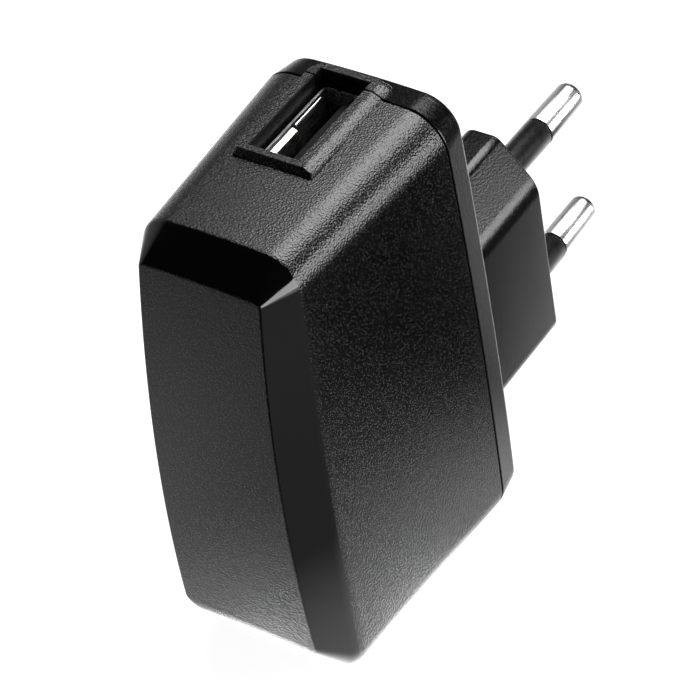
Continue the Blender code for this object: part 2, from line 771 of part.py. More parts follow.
def smooth_path(knots, steps):
    """Points on a smooth curve through the knots (Catmull-Rom)."""
    points = []
    padded = [knots[0], *knots, knots[-1]]
    for before, start, end, after in zip(padded, padded[1:], padded[2:], padded[3:]):
        for step in range(steps):
            t = step / steps
            point = []
            for a, b, c, d in zip(before, start, end, after):
                point.append(
                    0.5 * (2 * b + (c - a) * t + (2 * a - 5 * b + 4 * c - d) * t * t
                           + (3 * b - a - 3 * c + d) * t ** 3)
                )
            points.append(point)
    points.append(list(knots[-1]))
    return points


def build_leads():
    """The two insulated leads from the pins' tails to the board."""
    pad_x = SEAT_X + 0.1 * MM
    for side, name in ((1, "upper"), (-1, "lower")):
        pad_z = (3.0 + side * 2.5) * MM
        knots = [
            (0.0, PIN_TAIL_END - GAP, side * PIN_SPACING / 2),
            (0.0, -11.0 * MM, side * 8.6 * MM),
            (0.4 * MM, -17.0 * MM, (1.5 + side * 5.0) * MM),
            (0.2 * MM, -23.0 * MM, pad_z),
            (-1.8 * MM, -26.2 * MM, pad_z),
            (pad_x, -26.8 * MM, pad_z),
        ]
        curve = bpy.data.curves.new(f"lead_{name}", "CURVE")
        curve.dimensions = "3D"
        curve.bevel_depth = 0.7 * MM
        curve.bevel_resolution = 2
        curve.use_fill_caps = True
        points = smooth_path(knots, 4)
        spline = curve.splines.new("POLY")
        spline.points.add(len(points) - 1)
        for slot, point in zip(spline.points, points):
            slot.co = (*point, 1.0)
        lead = bpy.data.objects.new(f"line_lead_{name}", curve)
        lead.data.materials.append(material("lead_insulation"))
        bpy.context.scene.collection.objects.link(lead)


def main():
    clear_scene()
    build_front_housing()
    build_rear_cover()
    build_pins()
    build_usb_shell()
    build_usb_tongue()
    build_usb_contacts()
    build_board()
    build_transformer_cores()
    build_transformer_bobbin()
    build_capacitors()
    build_axial_parts()
    build_chips()
    build_leads()


main()
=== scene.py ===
"""Looks of the USB wall charger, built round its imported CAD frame.

The frame's origin is the middle of the plug block's end face. +Y runs along the pins, +Z up to the
USB port and +X to the right seen from the front. Lengths are in metres.
"""

import math

import bmesh
import bpy
import numpy as np
from mathutils import Matrix, Vector

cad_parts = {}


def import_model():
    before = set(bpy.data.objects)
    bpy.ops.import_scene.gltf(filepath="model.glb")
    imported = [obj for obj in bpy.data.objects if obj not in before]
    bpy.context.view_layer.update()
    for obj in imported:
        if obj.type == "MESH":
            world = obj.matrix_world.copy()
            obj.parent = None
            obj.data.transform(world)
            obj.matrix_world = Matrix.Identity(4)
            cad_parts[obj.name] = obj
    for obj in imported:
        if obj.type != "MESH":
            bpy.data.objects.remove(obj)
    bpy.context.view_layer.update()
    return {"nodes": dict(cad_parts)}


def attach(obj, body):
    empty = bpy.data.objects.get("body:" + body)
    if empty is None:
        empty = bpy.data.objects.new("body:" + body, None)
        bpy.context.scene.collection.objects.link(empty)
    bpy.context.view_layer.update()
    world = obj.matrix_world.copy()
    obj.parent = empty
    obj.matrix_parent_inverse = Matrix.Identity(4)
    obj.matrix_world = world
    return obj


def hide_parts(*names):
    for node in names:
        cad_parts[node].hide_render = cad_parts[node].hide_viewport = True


MM = 0.001

# Camera.
AIM_AZIMUTH = 41.426
AIM_ELEVATION = 43.264
AIM_ROLL = 11.653
AIM_POINT = Vector((-5.32, -24.92, 1.98)) * MM
AIM_DISTANCE = 336.1 * MM
LENS = 148.37

# Casing, as in the CAD source.
WALL = 1.7 * MM
SEAM_Y = -22.7 * MM
SEAM_HALF_GAP = 0.11 * MM
SEAM_EDGE_ROUND = 0.12 * MM
COVER_BACK_Y = -18.8 * MM
COVER_EDGE_ROUND = 0.75 * MM
COVER_DRAFT = 0.5 * MM
LIP_DEPTH = 2.0 * MM
LIP_INSET = 2.0 * MM
LIP_THICKNESS = 1.0 * MM
SEAM_OUTLINE = dict(
    half_top=11.75 * MM, half_bottom=11.75 * MM, bow=0.55 * MM,
    top=41.2 * MM, bottom=-20.9 * MM, round_top=4.9 * MM, round_bottom=5.2 * MM,
)
RIM_OUTLINE = dict(
    half_top=10.1 * MM, half_bottom=10.9 * MM, bow=0.0,
    top=40.7 * MM, bottom=-19.5 * MM, round_top=4.1 * MM, round_bottom=4.4 * MM,
)
FACE_OUTLINE = dict(
    half_top=7.75 * MM, half_bottom=9.05 * MM, bow=0.0,
    top=37.8 * MM, bottom=-11.5 * MM, round_top=0.5 * MM, round_bottom=1.6 * MM,
)
RIM_DEPTHS = (29.5 * MM, 27.8 * MM, 24.9 * MM)
FACE_DEPTHS = (34.2 * MM, 33.3 * MM, 29.1 * MM)
FACE_CREASE = 0.22 * MM
FACE_CREASE_BOTTOM = 1.5 * MM
RIM_CREASE_TOP = 0.35 * MM
RIM_CREASE_BOTTOM = 1.8 * MM
CROWN = 2.4
POLISHED_GAPS = range(3, 10)

# Plug block and pins.
BLOCK_HALF_WIDTH = 6.8 * MM
BLOCK_HALF_HEIGHT = 17.65 * MM
BLOCK_SHOULDER_Z = 11.8 * MM
BLOCK_LOW_SHOULDER_Z = -10.5 * MM
BLOCK_SHOULDER_ROUND = 4.4 * MM
BLOCK_LOW_SHOULDER_ROUND = 2.0 * MM
BLOCK_TIP_HALF_WIDTH = 1.9 * MM
BLOCK_TIP_ROUND = 1.6 * MM
BLOCK_END_ROUND = 0.4 * MM
BLOCK_WALL = 1.8 * MM
BLOCK_END_WALL = 2.8 * MM
PIN_SPACING = 18.8 * MM
PIN_TILT = math.radians(0.8)
PIN_RADIUS = 2.0 * MM
PIN_LENGTH = 19.0 * MM
PIN_TIP_ROUND = 1.3 * MM
PIN_NECK_RADIUS = 1.5 * MM
PIN_TAIL_END = -7.0 * MM
PIN_HOLE_RADIUS = 2.15 * MM
SLEEVE_RADIUS = 1.95 * MM
SLEEVE_BORE_RADIUS = 1.65 * MM
SLEEVE_START = -2.4 * MM
SLEEVE_END = 10.6 * MM

# USB port.
PORT_X = -1.1 * MM
PORT_Y = SEAM_Y - 5.65 * MM
PORT_HALF = (3.18 * MM, 6.8 * MM)
COLLAR_TOP_Z = 41.9 * MM
COLLAR_RIM = (1.22 * MM, 0.95 * MM)
COLLAR_FLARE = 0.4 * MM
COLLAR_SIDE_FLARE = 1.1 * MM
COLLAR_EDGE = 0.12 * MM
SHELL_HALF = (2.85 * MM, 6.55 * MM)
SHELL_DEPTH = 14.0 * MM
SHELL_SHEET = 0.3 * MM
SHELL_TOP_Z = 39.8 * MM
SHELL_CORNER = 0.7 * MM
FRONT_LEAF = ((0.0, -0.5), (0.72, -0.78), (0.84, -1.0), (0.86, -1.6), (0.7, -3.2), (0.3, -5.2), (0.0, -5.6))
REAR_LEAF = (
    (0.0, -0.45), (0.16, -0.50), (0.28, -0.60), (0.36, -0.76), (0.42, -1.1),
    (0.52, -1.9), (0.6, -3.2), (0.3, -5.2), (0.0, -5.6),
)
TONGUE_HALF = (0.92 * MM, 5.55 * MM)
TONGUE_X = PORT_X + 0.95 * MM
TONGUE_TOP_Z = SHELL_TOP_Z - 0.9 * MM
TONGUE_ROOT_Z = SHELL_TOP_Z - SHELL_DEPTH + 4.0 * MM

# Surface grain of the matt plastic. Its glint values are painted highlights: a paler base colour on the
# grain's tips.
GRAIN_SCALE = 4300
GRAIN_DEPTH = 0.039 * MM
SATIN_DEPTH = 0.011 * MM
GRAIN_PAINTED_GLINT = 0.052
SATIN_PAINTED_GLINT = 0.012

# Material slots of the casing.
POLISHED, SATIN, WELL = 1, 2, 3

# Stage. Angles are azimuth from +X towards +Y, and elevation. Ramps are from, to, first and last value.
STAGE_CENTRE = Vector((0, -35, 10)) * MM
STUDIO_GLOW = 0.012
PALE_CORNER = (175, 0)
PALE_CORNER_GLOW = 0.6
FLOOR_GLOW = 0.9
# The floor's glow in reflections: painted pools of light under, near, left of, behind and right of the
# charger.
FLOOR_STRETCH = 0.68
FLOOR_UNDER = (8 * MM, 17 * MM, 5.0, 0.0)
FLOOR_NEAR = (14 * MM, 42 * MM, 1.25, 0.0)
FLOOR_LEFT = (60 * MM, 240 * MM, 0.78, 0.25)
FLOOR_LEFT_SHARE = (0.1, -0.7, 0.0, 1.0)
FLOOR_BACK = (30 * MM, 260 * MM, 2.2, 1.0)
FLOOR_BACK_WAY = 125
FLOOR_BACK_SHARE = (0.36, 0.92, 0.0, 1.0)
FLOOR_RIGHT = (30 * MM, 100 * MM, 0.22, 0.34)
FLOOR_RIGHT_WAY = -15
FLOOR_RIGHT_SHARE = (0.80, 0.95, 0.0, 1.0)
FLOOR_FAR_RIGHT = (180 * MM, 320 * MM, 0.0, 2.5)
FLOOR_POOL_SHIFT = 6 * MM
FLOOR_ALBEDO = 0.35

# Fineness of the casing's outline.
CROWN_STEPS = 5
ARC_STEPS = 14
SIDE_STEPS = 30


# ---------------------------------------------------------------- mesh helpers


def add_piece(name, form, finishes, sharp=None):
    """A mesh object from a bmesh, faces outwards, shaded smooth apart from edges over the angle."""
    bmesh.ops.recalc_face_normals(form, faces=form.faces[:])
    mesh = bpy.data.meshes.new(name)
    form.to_mesh(mesh)
    form.free()
    for finish in finishes:
        mesh.materials.append(finish)
    if sharp is not None:
        mesh.shade_smooth()
        mesh.set_sharp_from_angle(angle=math.radians(sharp))
    piece = bpy.data.objects.new(name, mesh)
    bpy.context.scene.collection.objects.link(piece)
    return piece


def combine(piece, form, operation, slot=0):
    """Joins a form to a piece, or cuts it away, for good. Its faces take the given material slot."""
    for face in form.faces:
        face.material_index = slot
    tool = add_piece("tool", form, list(piece.data.materials))
    step = piece.modifiers.new("combine", "BOOLEAN")
    step.operation = operation
    step.solver = "EXACT"
    step.object = tool
    graph = bpy.context.evaluated_depsgraph_get()
    made = bpy.data.meshes.new_from_object(piece.evaluated_get(graph))
    old = piece.data
    name = old.name
    piece.modifiers.clear()
    piece.data = made
    bpy.data.meshes.remove(old)
    made.name = name
    tool_mesh = tool.data
    bpy.data.objects.remove(tool)
    bpy.data.meshes.remove(tool_mesh)


def shade(piece, sharp):
    """Smooth shading with sharp edges over the angle, and flat faces kept flat."""
    piece.data.shade_smooth()
    piece.data.set_sharp_from_angle(angle=math.radians(sharp))
    weighted = piece.modifiers.new("weighted", "WEIGHTED_NORMAL")
    weighted.keep_sharp = True
    weighted.weight = 80


def stack(form, rings, closed=False, finish=None):
    """Side walls between neighbouring rings of equal count. finish gives a slot for each gap."""
    rows = [[form.verts.new(point) for point in ring] for ring in rings]
    pairs = list(zip(rows, rows[1:]))
    if closed:
        pairs.append((rows[-1], rows[0]))
    for gap, (lower, upper) in enumerate(pairs):
        for index in range(len(lower)):
            after = (index + 1) % len(lower)
            face = form.faces.new((lower[index], lower[after], upper[after], upper[index]))
            if finish:
                face.material_index = finish[gap]
    return rows


def close_by_rows(form, row):
    """Closes a left-right symmetric ring with level strips."""
    count = len(row)
    for index in range(count // 2 - 1):
        form.faces.new((row[index], row[index + 1], row[count - 2 - index], row[count - 1 - index]))


def row_capped(rings, finish=None):
    """A closed form from left-right symmetric rings, with level strips over both ends."""
    form = bmesh.new()
    rows = stack(form, rings, finish=finish)
    close_by_rows(form, rows[0])
    close_by_rows(form, rows[-1])
    return form


def face_capped(rings):
    """A closed form from flat rings, with one face over each end."""
    form = bmesh.new()
    rows = stack(form, rings)
    form.faces.new(rows[0])
    form.faces.new(rows[-1])
    return form


def box_form(low, high):
    form = bmesh.new()
    for corner in bmesh.ops.create_cube(form, size=1.0)["verts"]:
        for axis in range(3):
            corner.co[axis] = low[axis] if corner.co[axis] < 0 else high[axis]
    return form


def arc(centre, radius, start, end, steps):
    points = []
    for step in range(steps + 1):
        angle = math.radians(start + (end - start) * step / steps)
        points.append((centre[0] + radius * math.cos(angle), centre[1] + radius * math.sin(angle)))
    return points


def mirrored(right_half):
    return right_half + [(-x, z) for x, z in reversed(right_half)]


def blend(first, corner, last, steps):
    """Points of a quadratic curve that rounds a corner."""
    points = []
    for step in range(steps + 1):
        t = step / steps
        points.append(first * (1 - t) ** 2 + corner * 2 * t * (1 - t) + last * t * t)
    return points


def turned(profile, steps=64):
    """A solid of revolution about Y. The profile lists (along, radius), first and last on the axis."""
    form = bmesh.new()
    rings = []
    for along, radius in profile[1:-1]:
        turn = [math.tau * step / steps for step in range(steps)]
        rings.append([(radius * math.cos(a), along, radius * math.sin(a)) for a in turn])
    rows = stack(form, rings)
    for row, (along, _) in ((rows[0], profile[0]), (rows[-1], profile[-1])):
        tip = form.verts.new((0, along, 0))
        for index in range(steps):
            form.faces.new((row[index], row[(index + 1) % steps], tip))
    return form


# ---------------------------------------------------------------- casing


def casing_outline(shape, inset=0.0):
    """A rounded, slightly bowed rectangle as (x, z) points, moved inwards by inset."""
    top = shape["top"] - inset
    bottom = shape["bottom"] + inset

    def half_width(z):
        share = (z - shape["bottom"]) / (shape["top"] - shape["bottom"])
        straight = shape["half_bottom"] * (1 - share) + shape["half_top"] * share
        return straight + 4 * shape["bow"] * share * (1 - share) - inset

    radius_top = max(shape["round_top"] - inset, 0.2 * MM)
    radius_bottom = max(shape["round_bottom"] - inset, 0.2 * MM)
    low = bottom + radius_bottom
    # The top is slightly crowned: it turns by CROWN degrees before its corner.
    crown = math.radians(CROWN)
    reach = half_width(top - radius_top) - radius_top + radius_top * math.sin(crown)
    crown_radius = reach / math.sin(crown)
    rise = (crown_radius - radius_top) * (1 - math.cos(crown))
    high = top - radius_top - rise
    right = []
    for step in range(CROWN_STEPS):
        angle = crown * (step + 0.5) / (CROWN_STEPS + 0.5)
        right.append((crown_radius * math.sin(angle), top - crown_radius * (1 - math.cos(angle))))
    right += arc((half_width(high) - radius_top, high), radius_top, 90 - CROWN, 0, ARC_STEPS)
    for step in range(1, SIDE_STEPS):
        z = high + (low - high) * step / SIDE_STEPS
        right.append((half_width(z), z))
    right += arc((half_width(low) - radius_bottom, low), radius_bottom, 0, -90, ARC_STEPS)
    return mirrored(right)


def bowed_depth(z, shape, depths):
    share = (z - shape["bottom"]) / (shape["top"] - shape["bottom"])
    at_bottom, at_middle, at_top = depths
    return (
        at_bottom * (1 - share) * (1 - 2 * share)
        + at_middle * 4 * share * (1 - share)
        + at_top * share * (2 * share - 1)
    )


def flat_ring(shape, y, inset=0.0):
    return [Vector((x, y, z)) for x, z in casing_outline(shape, inset)]


def bowed_ring(shape, depths, inset=0.0, back=0.0):
    return [
        Vector((x, SEAM_Y - bowed_depth(z, shape, depths) + back, z))
        for x, z in casing_outline(shape, inset)
    ]


def towards(start, end, distance):
    return start + (end - start).normalized() * distance


def rim_crease(z):
    """How far the rim's rounding reaches: crisp at the top, softer towards the bottom."""
    share = (z - RIM_OUTLINE["bottom"]) / (RIM_OUTLINE["top"] - RIM_OUTLINE["bottom"])
    share = min(max(share, 0.0), 1.0)
    return RIM_CREASE_BOTTOM + (RIM_CREASE_TOP - RIM_CREASE_BOTTOM) * share ** 0.7


def face_crease(z):
    """How far the face edge's rounding reaches: crisp beside the bevel, soft along the bottom."""
    bottom = FACE_OUTLINE["bottom"]
    share = min(max((z - bottom) / FACE_OUTLINE["round_bottom"], 0.0), 1.0)
    return FACE_CREASE_BOTTOM + (FACE_CREASE - FACE_CREASE_BOTTOM) * share ** 0.5


def columns_to_rings(columns):
    return [list(ring) for ring in zip(*columns)]


def housing_form():
    """The front housing: bowed grained face, polished bevel, long sides and the open inside."""
    seam_y = SEAM_Y - SEAM_HALF_GAP
    inner_face = bowed_ring(FACE_OUTLINE, FACE_DEPTHS, FACE_CREASE)
    face = bowed_ring(FACE_OUTLINE, FACE_DEPTHS)
    deep_face = bowed_ring(FACE_OUTLINE, FACE_DEPTHS, FACE_CREASE_BOTTOM)
    rim = bowed_ring(RIM_OUTLINE, RIM_DEPTHS)
    seam = flat_ring(SEAM_OUTLINE, seam_y)
    columns = []
    for inside, deep, edge, bend, end in zip(inner_face, deep_face, face, rim, seam):
        crease = rim_crease(bend.z)
        soft = face_crease(edge.z)
        share = (soft - FACE_CREASE) / (FACE_CREASE_BOTTOM - FACE_CREASE)
        inside = inside.lerp(deep, share)
        column = blend(inside, edge, towards(edge, bend, soft), 5)
        column.append(edge.lerp(bend, 0.5))
        column += blend(towards(bend, edge, crease), bend, towards(bend, end, crease), 6)
        first = column[-1]
        column += [first.lerp(end, step / 8) for step in range(1, 8)]
        column.append(towards(end, first, SEAM_EDGE_ROUND))
        columns.append(column)
    rings = columns_to_rings(columns)
    rings.append(flat_ring(SEAM_OUTLINE, seam_y - 0.3 * SEAM_EDGE_ROUND, 0.3 * SEAM_EDGE_ROUND))
    rings.append(flat_ring(SEAM_OUTLINE, seam_y, SEAM_EDGE_ROUND))
    rings.append(flat_ring(SEAM_OUTLINE, seam_y, WALL))
    rings.append(bowed_ring(RIM_OUTLINE, RIM_DEPTHS, WALL, 0.6 * MM))
    rings.append(bowed_ring(FACE_OUTLINE, FACE_DEPTHS, 1.0 * MM, WALL))
    finish = [POLISHED if gap in POLISHED_GAPS else 0 for gap in range(len(rings) - 1)]
    return row_capped(rings, finish)


def collar_path(front, back, rounds, offset, side_offset):
    """The collar's outer edge seen from above, as (x, y), moved outwards, more so on its right side.

    rounds gives the corner radii, back right, back left, front left and front right.
    """
    half = PORT_HALF[0] + COLLAR_RIM[0]
    right = PORT_X + half + side_offset
    left = PORT_X - half - offset
    points = []
    corners = ((right, back, 0), (left, back, 90), (left, front, 180), (right, front, 270))
    for (x, y, start), radius in zip(corners, rounds):
        sign_x = 1 if x == right else -1
        sign_y = 1 if y == back else -1
        centre = (x - sign_x * radius, y - sign_y * radius)
        points += arc(centre, radius, start, start + 90, 8)
    return points


def collar_form(front, back, open_front, open_back):
    """A stretch of the raised collar round the port, sunk a little into the casing."""
    edge = COLLAR_EDGE
    foot_z = SEAM_OUTLINE["top"]
    levels = (
        (foot_z - 0.7 * MM, 1.0, 1.0),
        (foot_z - 0.12 * MM, 1.0, 1.0),
        (foot_z + 0.05 * MM, 0.7, 0.95),
        (foot_z + 0.25 * MM, 0.42, 0.72),
        (COLLAR_TOP_Z - 0.2 * MM, 0.15, 0.24),
        (COLLAR_TOP_Z - edge, 0.1, 0.05),
    )
    square = 0.01 * MM
    if open_front:
        rounds = (0.9 * MM, 1.6 * MM, square, square)
    else:
        rounds = (square, square, 0.35 * MM, 0.35 * MM)
    rings = []
    steps = [(z, share * COLLAR_FLARE, side * COLLAR_SIDE_FLARE) for z, share, side in levels]
    steps += [(COLLAR_TOP_Z - 0.3 * edge, -0.3 * edge, -0.3 * edge), (COLLAR_TOP_Z, -edge, -edge)]
    for z, offset, side_offset in steps:
        y_front = front if open_front else front - offset
        y_back = back if open_back else back + offset
        path = collar_path(y_front, y_back, rounds, offset, side_offset)
        rings.append([(x, y, z) for x, y in path])
    return face_capped(rings)


def port_cut(y_low, y_high, z_low):
    """The port's opening as a box with a small chamfer at the collar's top edge."""
    edge = 0.12 * MM
    rings = []
    for z, grow in ((z_low, 0.0), (COLLAR_TOP_Z - edge, 0.0), (COLLAR_TOP_Z, edge), (44 * MM, edge)):
        x0, x1 = PORT_X - PORT_HALF[0] - grow, PORT_X + PORT_HALF[0] + grow
        y0, y1 = y_low - grow, y_high + grow
        rings.append([(x0, y0, z), (x1, y0, z), (x1, y1, z), (x0, y1, z)])
    return face_capped(rings)


def make_housing(finishes):
    housing = add_piece("front_housing_skin", housing_form(), finishes)
    seam_y = SEAM_Y - SEAM_HALF_GAP
    front = PORT_Y - PORT_HALF[1] - COLLAR_RIM[1]
    combine(housing, collar_form(front, seam_y, False, True), "UNION")
    combine(housing, port_cut(PORT_Y - PORT_HALF[1], SEAM_Y + 3 * MM, 37 * MM), "DIFFERENCE", WELL)
    shade(housing, 28)
    return housing


def block_half(inset, shoulder_z, shoulder_round):
    """The plug block's right half above its middle, as (x, z) points from the tip to the shoulder."""
    tip_x = BLOCK_TIP_HALF_WIDTH - 0.3 * inset
    tip_z = BLOCK_HALF_HEIGHT - inset
    side_x = BLOCK_HALF_WIDTH - inset
    shoulder_z = shoulder_z - 0.4 * inset
    turn = math.degrees(math.atan2(side_x - tip_x, tip_z - shoulder_z))
    shoulder_reach = shoulder_round * math.tan(math.radians(turn) / 2)
    tip_reach = BLOCK_TIP_ROUND * math.tan(math.radians(90 - turn) / 2)
    tip_centre = (tip_x - tip_reach, tip_z - BLOCK_TIP_ROUND)
    shoulder_centre = (side_x - shoulder_round, shoulder_z - shoulder_reach)
    upper = arc(tip_centre, BLOCK_TIP_ROUND, 90, turn, 10)
    upper = [(max(x, 0.05 * MM), z) for x, z in upper]
    return upper + arc(shoulder_centre, shoulder_round, turn, 0, 12)


def block_outline(inset, round_high, round_low):
    """The plug block's long hexagon with rounded corners, as (x, z) points."""
    upper = block_half(inset, BLOCK_SHOULDER_Z, round_high)
    lower = block_half(inset, -BLOCK_LOW_SHOULDER_Z, round_low)
    return mirrored(upper + [(x, -z) for x, z in reversed(lower)])


def block_form():
    rings = []
    start = COVER_BACK_Y - 1.0 * MM
    length = -BLOCK_END_ROUND - start
    for step in range(9):
        share = step / 8
        round_low = 3.5 * MM * (1 - share) + BLOCK_LOW_SHOULDER_ROUND * share
        outline = block_outline(0.0, BLOCK_SHOULDER_ROUND, round_low)
        rings.append([(x, start + length * share, z) for x, z in outline])
    for inset, back in ((0.1, 0.55), (0.3, 0.25), (0.6, 0.07), (1.0, 0.0)):
        outline = block_outline(inset * BLOCK_END_ROUND, BLOCK_SHOULDER_ROUND, BLOCK_LOW_SHOULDER_ROUND)
        rings.append([(x, -back * BLOCK_END_ROUND, z) for x, z in outline])
    return row_capped(rings)


def cover_form():
    """The rear cover's tray with its rounded back edge and inner lip."""
    rim_y = SEAM_Y + SEAM_HALF_GAP
    edge = COVER_EDGE_ROUND
    rings = [flat_ring(SEAM_OUTLINE, COVER_BACK_Y, COVER_DRAFT + 1.6 * edge)]
    for step in range(7):
        angle = math.radians(90 * step / 6)
        inset = COVER_DRAFT + edge * (1 - math.sin(angle))
        rings.append(flat_ring(SEAM_OUTLINE, COVER_BACK_Y - edge * (1 - math.cos(angle)), inset))
    rings.append(flat_ring(SEAM_OUTLINE, rim_y + SEAM_EDGE_ROUND))
    rings.append(flat_ring(SEAM_OUTLINE, rim_y + 0.3 * SEAM_EDGE_ROUND, 0.3 * SEAM_EDGE_ROUND))
    rings.append(flat_ring(SEAM_OUTLINE, rim_y, SEAM_EDGE_ROUND))
    rings.append(flat_ring(SEAM_OUTLINE, rim_y, LIP_INSET))
    rings.append(flat_ring(SEAM_OUTLINE, SEAM_Y - LIP_DEPTH, LIP_INSET))
    rings.append(flat_ring(SEAM_OUTLINE, SEAM_Y - LIP_DEPTH, LIP_INSET + LIP_THICKNESS))
    rings.append(flat_ring(SEAM_OUTLINE, COVER_BACK_Y - WALL, LIP_INSET + LIP_THICKNESS))
    return row_capped(rings)


def place_by_pin(form, side):
    """Turns and moves a form made along Y onto the upper or lower pin's line."""
    turn = Matrix.Rotation(-side * PIN_TILT, 4, "X")
    place = Matrix.Translation((0, 0, side * PIN_SPACING / 2)) @ turn
    bmesh.ops.transform(form, verts=form.verts[:], matrix=place)
    return form


def make_cover(finishes):
    cover = add_piece("rear_cover_skin", cover_form(), finishes)
    for face in cover.data.polygons:
        face.material_index = SATIN
    combine(cover, block_form(), "UNION", SATIN)
    rim_y = SEAM_Y + SEAM_HALF_GAP
    back = PORT_Y + PORT_HALF[1] + COLLAR_RIM[1]
    combine(cover, collar_form(rim_y, back, True, False), "UNION")
    rings = []
    for y in (COVER_BACK_Y - WALL - 1 * MM, -BLOCK_END_WALL):
        rings.append([(x, y, z) for x, z in block_outline(BLOCK_WALL, 2.0 * MM, 1.0 * MM)])
    combine(cover, row_capped(rings), "DIFFERENCE")
    for side in (1, -1):
        hole = [(-6 * MM, 0), (-6 * MM, PIN_HOLE_RADIUS), (-0.15 * MM, PIN_HOLE_RADIUS)]
        hole += [(0.0, PIN_HOLE_RADIUS + 0.15 * MM), (2 * MM, PIN_HOLE_RADIUS + 0.15 * MM), (2 * MM, 0)]
        combine(cover, place_by_pin(turned(hole, 48), side), "DIFFERENCE")
    combine(cover, port_cut(SEAM_Y - 4 * MM, PORT_Y + PORT_HALF[1], 24 * MM), "DIFFERENCE", WELL)
    shade(cover, 28)
    return cover


# ---------------------------------------------------------------- pins and receptacle


def pin_form():
    wall_back = -BLOCK_END_WALL - 0.3 * MM
    neck = SLEEVE_END + 0.2 * MM
    edge = 0.12 * MM
    tip = arc((PIN_LENGTH - PIN_TIP_ROUND, PIN_RADIUS - PIN_TIP_ROUND), PIN_TIP_ROUND, 90, 0, 12)
    profile = [
        (PIN_TAIL_END, 0),
        (PIN_TAIL_END, 1.1 * MM),
        (PIN_TAIL_END + 0.1 * MM, 1.2 * MM),
        (wall_back - 1.2 * MM, 1.2 * MM),
        (wall_back - 1.2 * MM, 2.6 * MM),
        (wall_back - 1.1 * MM, 2.7 * MM),
        (wall_back - 0.1 * MM, 2.7 * MM),
        (wall_back, 2.6 * MM),
        (wall_back, PIN_NECK_RADIUS),
        (neck, PIN_NECK_RADIUS),
        (neck, PIN_RADIUS - edge),
        (neck + 0.3 * edge, PIN_RADIUS - 0.3 * edge),
        (neck + edge, PIN_RADIUS),
    ]
    profile += [(y, radius) for y, radius in tip]
    profile.append((PIN_LENGTH, 0))
    return turned(profile, 72)


def sleeve_form():
    edge = 0.15 * MM
    inner, outer = SLEEVE_BORE_RADIUS, SLEEVE_RADIUS
    profile = (
        (inner, SLEEVE_START), (outer, SLEEVE_START), (outer, SLEEVE_END - edge),
        (outer - 0.3 * edge, SLEEVE_END - 0.3 * edge), (outer - edge, SLEEVE_END), (inner, SLEEVE_END),
    )
    steps = 72
    form = bmesh.new()
    rings = []
    for radius, along in profile:
        turn = [math.tau * step / steps for step in range(steps)]
        rings.append([(radius * math.cos(a), along, radius * math.sin(a)) for a in turn])
    stack(form, rings, closed=True)
    return form


def make_pins(metal, plastic):
    pieces = []
    for side, name in ((1, "upper"), (-1, "lower")):
        pin = add_piece(f"pin_{name}_fine", place_by_pin(pin_form(), side), [metal], 35)
        sleeve = add_piece(f"pin_sleeve_{name}_fine", place_by_pin(sleeve_form(), side), [plastic], 35)
        pieces += [(pin, f"pin_{name}"), (sleeve, f"pin_sleeve_{name}")]
    return pieces


def shell_ring(inset, z):
    half_x = SHELL_HALF[0] - inset
    half_y = SHELL_HALF[1] - inset
    radius = SHELL_CORNER - inset
    points = []
    for sign_x, sign_y, start in ((1, 1, 0), (-1, 1, 90), (-1, -1, 180), (1, -1, 270)):
        centre = (PORT_X + sign_x * (half_x - radius), PORT_Y + sign_y * (half_y - radius))
        points += [(x, y, z) for x, y in arc(centre, radius, start, start + 90, 8)]
    return points


def leaf_form(y_low, y_high, line):
    """A bent retention spring on the shell's left wall: a strip of sheet that follows the line."""
    wall_x = PORT_X - SHELL_HALF[0] + 0.15 * MM
    thick = 0.22 * MM
    front = [Vector((wall_x + x * MM, 0, SHELL_TOP_Z + z * MM)) for x, z in line]
    outline = front + [point - Vector((thick, 0, 0)) for point in reversed(front)]
    return face_capped([[(p.x, y, p.z) for p in outline] for y in (y_low, y_high)])


def make_shell(steel):
    form = bmesh.new()
    bottom = SHELL_TOP_Z - SHELL_DEPTH
    edge = 0.06 * MM
    levels = [
        (0.0, bottom), (0.0, SHELL_TOP_Z - edge), (edge, SHELL_TOP_Z),
        (SHELL_SHEET - edge, SHELL_TOP_Z), (SHELL_SHEET, SHELL_TOP_Z - edge), (SHELL_SHEET, bottom),
    ]
    stack(form, [shell_ring(inset, z) for inset, z in levels], closed=True)
    shell = add_piece("usb_shell_fine", form, [steel])
    for low, high, line in ((-5.3, -0.3, FRONT_LEAF), (0.2, 5.2, REAR_LEAF)):
        combine(shell, leaf_form(PORT_Y + low * MM, PORT_Y + high * MM, line), "UNION")
    shade(shell, 35)
    return shell


def make_tongue(plastic):
    root_half = (SHELL_HALF[0] - SHELL_SHEET - 0.15 * MM, SHELL_HALF[1] - SHELL_SHEET - 0.15 * MM)
    low = (PORT_X - root_half[0], PORT_Y - root_half[1], SHELL_TOP_Z - SHELL_DEPTH + 0.2 * MM)
    high = (PORT_X + root_half[0], PORT_Y + root_half[1], TONGUE_ROOT_Z)
    tongue = add_piece("usb_tongue_fine", box_form(low, high), [plastic])
    blade = box_form(
        (TONGUE_X - TONGUE_HALF[0], PORT_Y - TONGUE_HALF[1], TONGUE_ROOT_Z - 0.5 * MM),
        (TONGUE_X + TONGUE_HALF[0], PORT_Y + TONGUE_HALF[1], TONGUE_TOP_Z),
    )
    combine(tongue, blade, "UNION")
    soften = tongue.modifiers.new("soften", "BEVEL")
    soften.width = 0.12 * MM
    soften.segments = 2
    return tongue


# ---------------------------------------------------------------- materials


